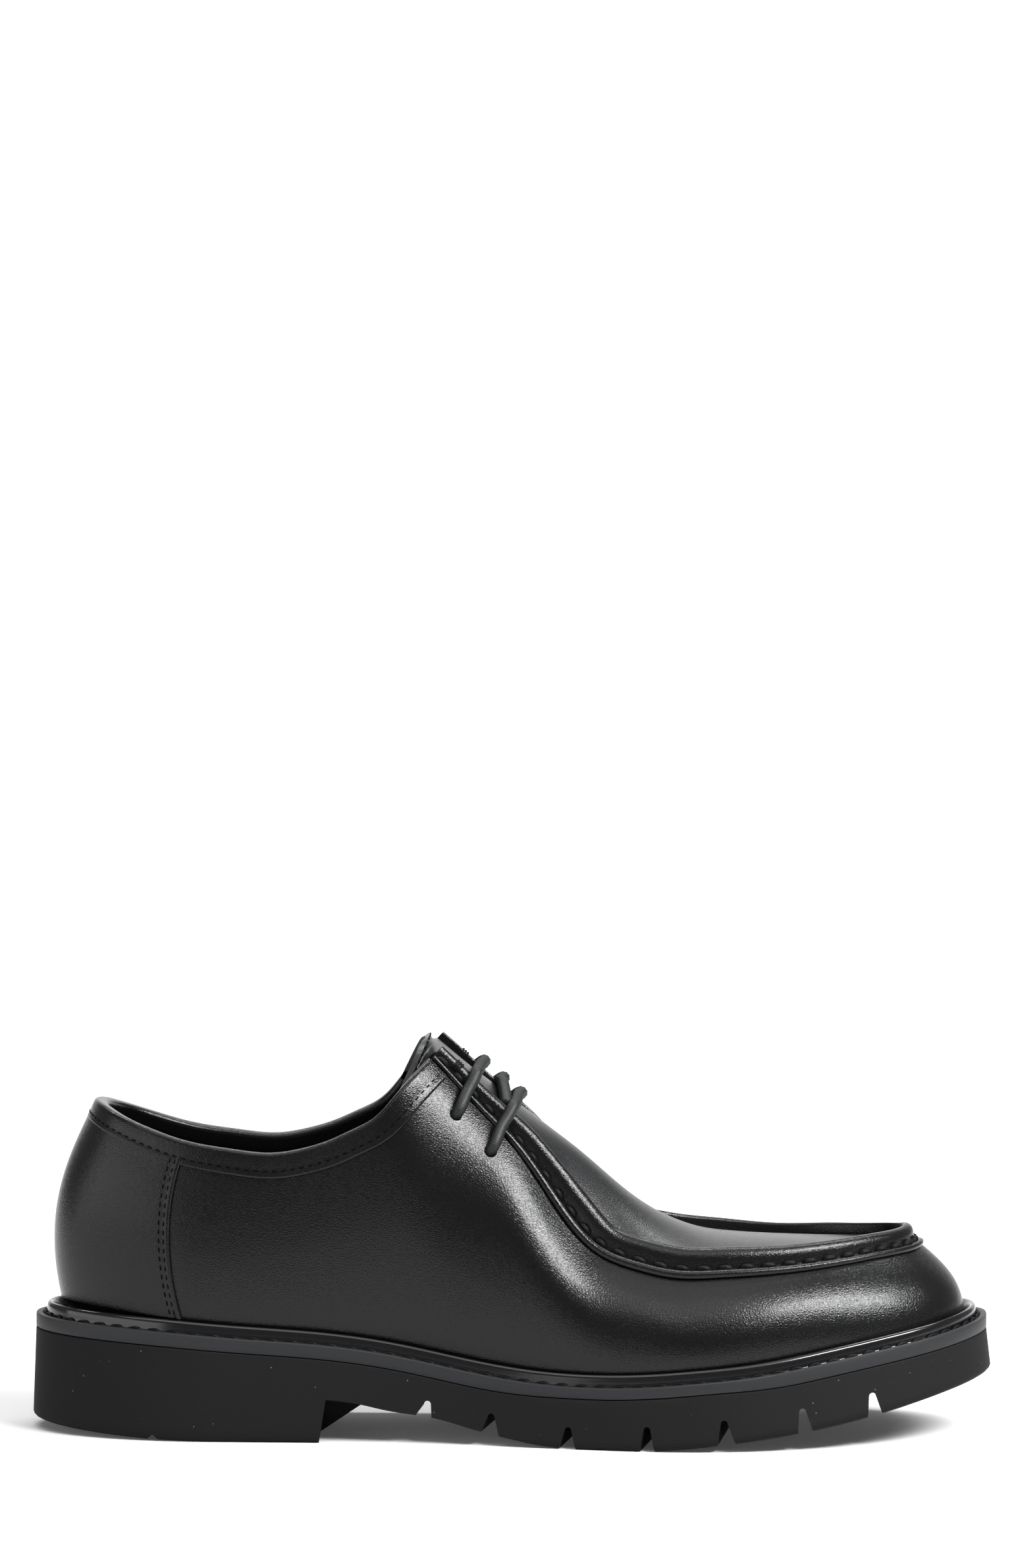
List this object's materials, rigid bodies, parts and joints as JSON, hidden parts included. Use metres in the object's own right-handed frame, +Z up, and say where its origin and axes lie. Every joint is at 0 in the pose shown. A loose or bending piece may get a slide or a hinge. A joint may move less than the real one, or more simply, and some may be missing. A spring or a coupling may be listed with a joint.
{
  "type": "apron toe derby",
  "caption": "Black leather derby shoe with a raised sewn apron toe, laced front, storm welt and deep lugged sole, standing empty.",
  "frame": {"origin": "middle of the sole's length and width, on the ground", "axes": "+X from heel to toe, +Y to the inner side of the foot, +Z up"},
  "size_m": [0.305, 0.1114, 0.1257],
  "materials": {
    "outsole": "matte",
    "welt": "satin",
    "leather": "semi-gloss",
    "lining": "matte",
    "cord": "matte"
  },
  "bodies": {
    "root": {"outsole": "outsole", "welt": "welt", "upper": "leather", "apron_seam": "leather", "apron_tongue": "leather", "insole": "lining", "heel_counter": "leather", "collar_binding": "leather", "lace_upper_bar": "cord", "lace_lower_bar": "cord", "lace_crossing": "cord"}
  },
  "joints": []
}
